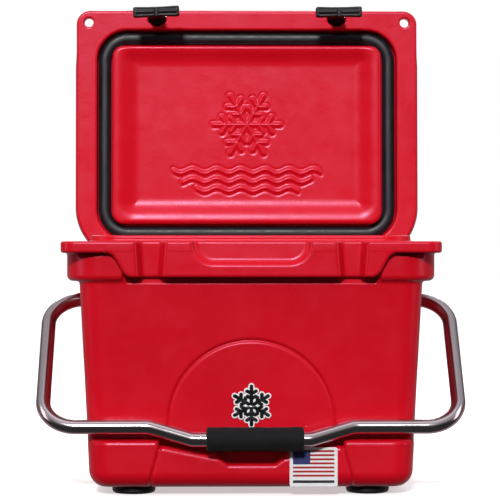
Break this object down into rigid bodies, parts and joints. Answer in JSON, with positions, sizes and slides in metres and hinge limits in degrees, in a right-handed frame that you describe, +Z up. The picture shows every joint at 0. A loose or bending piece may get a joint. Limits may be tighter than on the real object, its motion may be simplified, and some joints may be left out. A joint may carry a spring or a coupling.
{
  "type": "portable hard-sided cooler",
  "caption": "Red moulded hard-sided cooler with an open hinged lid, rubber T-latches, swinging steel bail handle with a foam grip, and rubber feet.",
  "frame": {"origin": "on the floor under the middle of the object's bounding box, with the lid open as stored", "axes": "+Z up, -Y towards the front where the handle hangs and the latches close, +X to the right seen from the front"},
  "size_m": [0.5134, 0.4017, 0.6132],
  "materials": {
    "red_plastic": "satin",
    "insulation": "matte",
    "fastener_steel": "satin",
    "handle_steel": "satin",
    "black_rubber": "matte",
    "gasket_rubber": "satin",
    "grip_foam": "matte",
    "black_plastic": "satin",
    "badge_print": "satin",
    "label_print": "satin"
  },
  "bodies": {
    "tub": {"tub_shell": "red_plastic", "tub_foam": "insulation", "tub_fill_plug": "black_plastic", "foot_front_left": "black_rubber", "foot_front_right": "black_rubber", "foot_rear_left": "black_rubber", "foot_rear_right": "black_rubber", "foot_screw_front_left": "fastener_steel", "foot_screw_front_right": "fastener_steel", "foot_screw_rear_left": "fastener_steel", "foot_screw_rear_right": "fastener_steel", "handle_bush_left": "black_plastic", "handle_bush_right": "black_plastic", "hinge_pin_left": "fastener_steel", "hinge_pin_right": "fastener_steel", "hinge_pin_cap_left": "black_plastic", "hinge_pin_cap_right": "black_plastic", "front_badge": "badge_print", "striped_label": "label_print"},
    "lid": {"lid_shell": "red_plastic", "lid_foam": "insulation", "lid_fill_plug": "black_plastic", "lid_gasket": "gasket_rubber", "latch_pin_left": "fastener_steel", "latch_pin_right": "fastener_steel"},
    "latch_left": {"latch_left": "black_rubber"},
    "latch_right": {"latch_right": "black_rubber"},
    "handle": {"handle_bail": "handle_steel", "handle_grip": "grip_foam", "handle_end_plug_left": "black_plastic", "handle_end_plug_right": "black_plastic"}
  },
  "joints": [
    {"name": "lid_hinge", "type": "hinge", "parent": "tub", "child": "lid", "pos_m": [0, 0.1267, 0.292], "axis": [1, 0, 0], "range_deg": [0, 92]},
    {"name": "latch_left_swing", "type": "hinge", "parent": "lid", "child": "latch_left", "pos_m": [-0.119, 0.16147, 0.59997], "axis": [-1, 0, 0], "range_deg": [0, 110]},
    {"name": "latch_right_swing", "type": "hinge", "parent": "lid", "child": "latch_right", "pos_m": [0.119, 0.16147, 0.59997], "axis": [-1, 0, 0], "range_deg": [0, 110]},
    {"name": "handle_swing", "type": "hinge", "parent": "tub", "child": "handle", "pos_m": [0, -0.0243, 0.229], "axis": [-1, 0, 0], "range_deg": [0, 165]}
  ]
}
